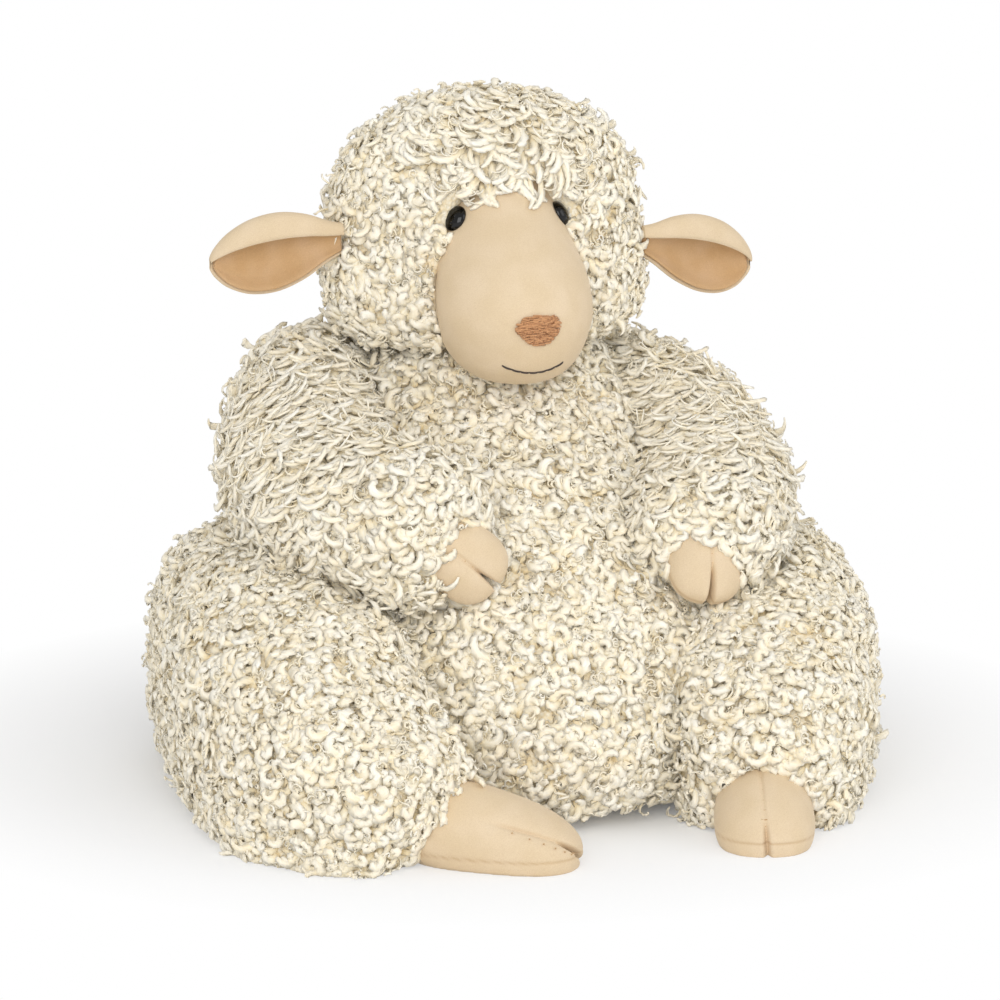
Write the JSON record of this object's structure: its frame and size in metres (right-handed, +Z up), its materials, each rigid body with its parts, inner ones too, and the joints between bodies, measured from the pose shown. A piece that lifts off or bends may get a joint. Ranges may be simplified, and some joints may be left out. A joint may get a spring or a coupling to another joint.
{
  "type": "plush sheep",
  "caption": "Sitting plush sheep of curly cream fleece with a velour face, ears, hands and feet; its head, ears, arms, legs and tail move.",
  "frame": {"origin": "in the flat underside of the seat, below the neck", "axes": "+Z up, the face looks along -Y, +X is the sheep's own left side"},
  "size_m": [0.2426, 0.25, 0.2275],
  "materials": {
    "fleece": "curly pile",
    "velour": "short pile",
    "lining": "short pile",
    "filling": "fibre filling",
    "backing": "plain weave",
    "nose_thread": "satin stitch",
    "mouth_thread": "thread",
    "eye": "gloss",
    "washer": "matte"
  },
  "bodies": {
    "body": {"body_cover": "fleece", "body_stuffing": "filling", "pellet_pouch": "backing"},
    "tail": {"tail": "fleece"},
    "neck": {"neck_band": "backing"},
    "head": {"head_cover": "fleece", "face_panel": "velour", "head_stuffing": "filling", "eye_left": "eye", "eye_right": "eye", "eye_washer_left": "washer", "eye_washer_right": "washer", "nose": "nose_thread", "mouth": "mouth_thread"},
    "ear_left": {"ear_left_back": "velour", "ear_left_lining": "lining"},
    "arm_left": {"arm_left_sleeve": "fleece", "arm_left_hand": "velour", "arm_left_stuffing": "filling"},
    "leg_left": {"leg_left_cover": "fleece", "leg_left_foot": "velour", "leg_left_sole": "velour", "leg_left_stuffing": "filling"},
    "ear_right": {"ear_right_back": "velour", "ear_right_lining": "lining"},
    "arm_right": {"arm_right_sleeve": "fleece", "arm_right_hand": "velour", "arm_right_stuffing": "filling"},
    "leg_right": {"leg_right_cover": "fleece", "leg_right_foot": "velour", "leg_right_sole": "velour", "leg_right_stuffing": "filling"}
  },
  "joints": [
    {"name": "neck_turn", "type": "hinge", "parent": "body", "child": "neck", "pos_m": [0, -0.005, 0.146], "axis": [0, 0, 1], "range_deg": [-15, 15], "stiffness_Nm_per_rad": 0.4},
    {"name": "neck_nod", "type": "hinge", "parent": "neck", "child": "head", "pos_m": [0, -0.005, 0.146], "axis": [1, 0, 0], "range_deg": [-12, 5], "stiffness_Nm_per_rad": 0.6},
    {"name": "tail_wag", "type": "hinge", "parent": "body", "child": "tail", "pos_m": [0, 0.062, 0.046], "axis": [0, 0, 1], "range_deg": [-14, 14], "stiffness_Nm_per_rad": 0.02},
    {"name": "ear_left_flap", "type": "hinge", "parent": "head", "child": "ear_left", "pos_m": [0.0528, -0.012, 0.173], "axis": [0, -1, 0], "range_deg": [-10, 10], "stiffness_Nm_per_rad": 0.02},
    {"name": "arm_left_raise", "type": "hinge", "parent": "body", "child": "arm_left", "pos_m": [0.057, 0.006, 0.109], "axis": [-1, 0, 0], "range_deg": [0, 26], "stiffness_Nm_per_rad": 0.2},
    {"name": "leg_left_splay", "type": "hinge", "parent": "body", "child": "leg_left", "pos_m": [0.068, 0, 0.038], "axis": [0, 0, 1], "range_deg": [-4, 16], "stiffness_Nm_per_rad": 0.2},
    {"name": "ear_right_flap", "type": "hinge", "parent": "head", "child": "ear_right", "pos_m": [-0.0521, -0.012, 0.179], "axis": [0, 1, 0], "range_deg": [-10, 10], "stiffness_Nm_per_rad": 0.02},
    {"name": "arm_right_raise", "type": "hinge", "parent": "body", "child": "arm_right", "pos_m": [-0.057, 0.006, 0.116], "axis": [-1, 0, 0], "range_deg": [0, 26], "stiffness_Nm_per_rad": 0.2},
    {"name": "leg_right_splay", "type": "hinge", "parent": "body", "child": "leg_right", "pos_m": [-0.068, 0, 0.038], "axis": [0, 0, -1], "range_deg": [-4, 16], "stiffness_Nm_per_rad": 0.2}
  ]
}
